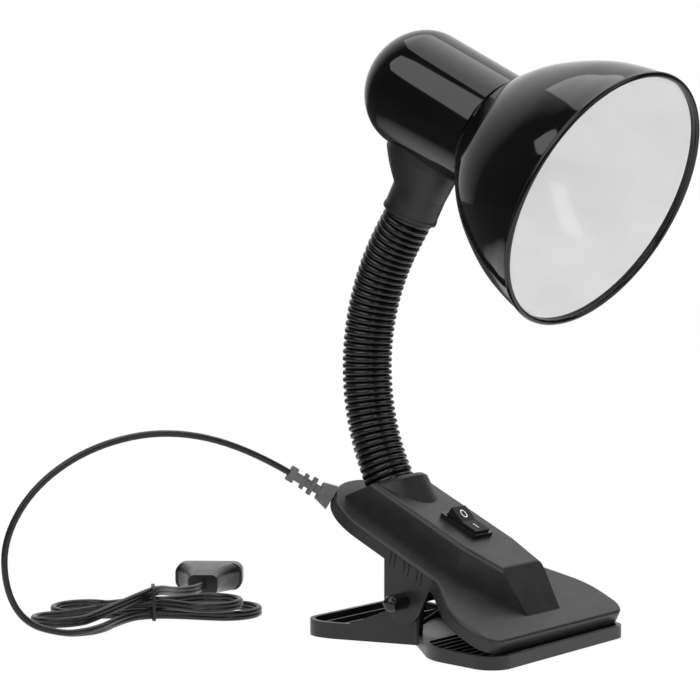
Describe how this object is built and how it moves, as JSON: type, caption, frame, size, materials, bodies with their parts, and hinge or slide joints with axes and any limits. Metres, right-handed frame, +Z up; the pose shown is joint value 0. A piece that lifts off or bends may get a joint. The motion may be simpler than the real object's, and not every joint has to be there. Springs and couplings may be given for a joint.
{
  "type": "clip-on reading lamp",
  "caption": "Clip-on reading lamp: spring clamp with a rocker switch, ribbed bending neck, bell shade with a screw lampholder, and a tied mains cord with plug.",
  "frame": {"origin": "on the floor under the middle of the hinge pin, on the lower jaw's flat underside", "axes": "+X towards the jaw mouth, +Z up, +Y to the left of someone looking out of the mouth"},
  "size_m": [0.3139, 0.1962, 0.2783],
  "materials": {
    "clip_plastic": "satin moulded black",
    "enamel": "gloss black enamel, white inside the shade",
    "sleeve_plastic": "semi-gloss black",
    "switch_plastic": "gloss black",
    "relief_rubber": "matt dark grey",
    "cord_rubber": "semi-gloss black",
    "steel": "plain zinc finish",
    "pin_plastic": "gloss black",
    "holder_plastic": "matt white",
    "brass": "plain"
  },
  "bodies": {
    "lower_jaw": {"lower_jaw": "clip_plastic", "torsion_spring": "steel", "cord_lead": "cord_rubber", "cord_hank": "cord_rubber", "cord_tie": "clip_plastic", "plug_body": "cord_rubber", "plug_pins": "steel"},
    "upper_jaw": {"upper_casing": "clip_plastic", "bottom_cover": "clip_plastic", "cover_screws": "steel", "hinge_pin": "pin_plastic", "pin_cap": "pin_plastic", "switch_body": "switch_plastic", "switch_terminals": "brass", "strain_relief": "relief_rubber", "neck_core": "steel", "lamp_flex": "cord_rubber", "neck_base_ferrule": "steel", "neck_base_nut": "steel"},
    "rocker": {"rocker": "switch_plastic"},
    "neck_01": {"neck_link_01": "sleeve_plastic"},
    "neck_02": {"neck_link_02": "sleeve_plastic"},
    "neck_03": {"neck_link_03": "sleeve_plastic"},
    "neck_04": {"neck_link_04": "sleeve_plastic"},
    "neck_05": {"neck_link_05": "sleeve_plastic"},
    "neck_06": {"neck_link_06": "sleeve_plastic"},
    "neck_07": {"neck_link_07": "sleeve_plastic"},
    "neck_08": {"neck_link_08": "sleeve_plastic"},
    "neck_09": {"neck_link_09": "sleeve_plastic"},
    "neck_10": {"neck_link_10": "sleeve_plastic"},
    "neck_11": {"neck_link_11": "sleeve_plastic"},
    "neck_12": {"neck_link_12": "sleeve_plastic"},
    "neck_13": {"neck_link_13": "sleeve_plastic"},
    "neck_14": {"neck_link_14": "sleeve_plastic"},
    "head": {"neck_socket": "clip_plastic", "neck_head_ferrule": "steel", "neck_head_nut": "steel", "saddle_screws": "steel", "holder_cap": "enamel", "shade_bell": "enamel", "lampholder": "holder_plastic", "thread_shell": "brass", "centre_contact": "brass", "holder_terminals": "brass", "shade_ring": "holder_plastic"}
  },
  "joints": [
    {"name": "jaw_hinge", "type": "hinge", "parent": "lower_jaw", "child": "upper_jaw", "pos_m": [0, 0, 0.0215], "axis": [0, -1, 0], "range_deg": [0, 38], "stiffness_Nm_per_rad": 1, "springref_deg": -51.57, "deforming": ["torsion_spring", "cord_lead", "neck_core", "lamp_flex"]},
    {"name": "rocker_pivot", "type": "hinge", "parent": "upper_jaw", "child": "rocker", "pos_m": [0.00814, 0, 0.05199], "axis": [0, -1, 0], "range_deg": [0, 20]},
    {"name": "neck_bend_01", "type": "hinge", "parent": "upper_jaw", "child": "neck_01", "pos_m": [-0.0351, 0, 0.0692], "axis": [0.0052, 1, 0], "range_deg": [-4, 11]},
    {"name": "neck_bend_02", "type": "hinge", "parent": "neck_01", "child": "neck_02", "pos_m": [-0.0393, 0, 0.07763], "axis": [0.9298, 0, 0.3681], "range_deg": [-7, 7]},
    {"name": "neck_bend_03", "type": "hinge", "parent": "neck_02", "child": "neck_03", "pos_m": [-0.04276, 0, 0.08639], "axis": [0.0052, 1, 0], "range_deg": [-12, 3.5]},
    {"name": "neck_bend_04", "type": "hinge", "parent": "neck_03", "child": "neck_04", "pos_m": [-0.04548, 0, 0.09541], "axis": [0.9785, 0, 0.2062], "range_deg": [-7, 7]},
    {"name": "neck_bend_05", "type": "hinge", "parent": "neck_04", "child": "neck_05", "pos_m": [-0.04742, 0, 0.10463], "axis": [0.0052, 1, 0], "range_deg": [-12, 3.5]},
    {"name": "neck_bend_06", "type": "hinge", "parent": "neck_05", "child": "neck_06", "pos_m": [-0.04858, 0, 0.11398], "axis": [0.9993, 0, 0.0384], "range_deg": [-7, 7]},
    {"name": "neck_bend_07", "type": "hinge", "parent": "neck_06", "child": "neck_07", "pos_m": [-0.04894, 0, 0.12339], "axis": [0.0052, 1, 0], "range_deg": [-12, 3.5]},
    {"name": "neck_bend_08", "type": "hinge", "parent": "neck_07", "child": "neck_08", "pos_m": [-0.0485, 0, 0.1328], "axis": [0.9914, 0, -0.1305], "range_deg": [-7, 7]},
    {"name": "neck_bend_09", "type": "hinge", "parent": "neck_08", "child": "neck_09", "pos_m": [-0.04727, 0, 0.14214], "axis": [0.0052, 1, 0], "range_deg": [-12, 3.5]},
    {"name": "neck_bend_10", "type": "hinge", "parent": "neck_09", "child": "neck_10", "pos_m": [-0.04526, 0, 0.15134], "axis": [0.9553, 0, -0.2957], "range_deg": [-7, 7]},
    {"name": "neck_bend_11", "type": "hinge", "parent": "neck_10", "child": "neck_11", "pos_m": [-0.04247, 0, 0.16034], "axis": [0.0052, 1, 0], "range_deg": [-12, 3.5]},
    {"name": "neck_bend_12", "type": "hinge", "parent": "neck_11", "child": "neck_12", "pos_m": [-0.03894, 0, 0.16907], "axis": [0.8918, 0, -0.4524], "range_deg": [-7, 7]},
    {"name": "neck_bend_13", "type": "hinge", "parent": "neck_12", "child": "neck_13", "pos_m": [-0.03467, 0, 0.17747], "axis": [0.0052, 1, 0], "range_deg": [-12, 3.5]},
    {"name": "neck_bend_14", "type": "hinge", "parent": "neck_13", "child": "neck_14", "pos_m": [-0.02972, 0, 0.18548], "axis": [0.829, 0, -0.5592], "range_deg": [-7, 7]},
    {"name": "neck_bend_15", "type": "hinge", "parent": "neck_14", "child": "head", "pos_m": [-0.02445, 0, 0.19329], "axis": [0.0052, 1, 0], "range_deg": [-3, 12]}
  ]
}
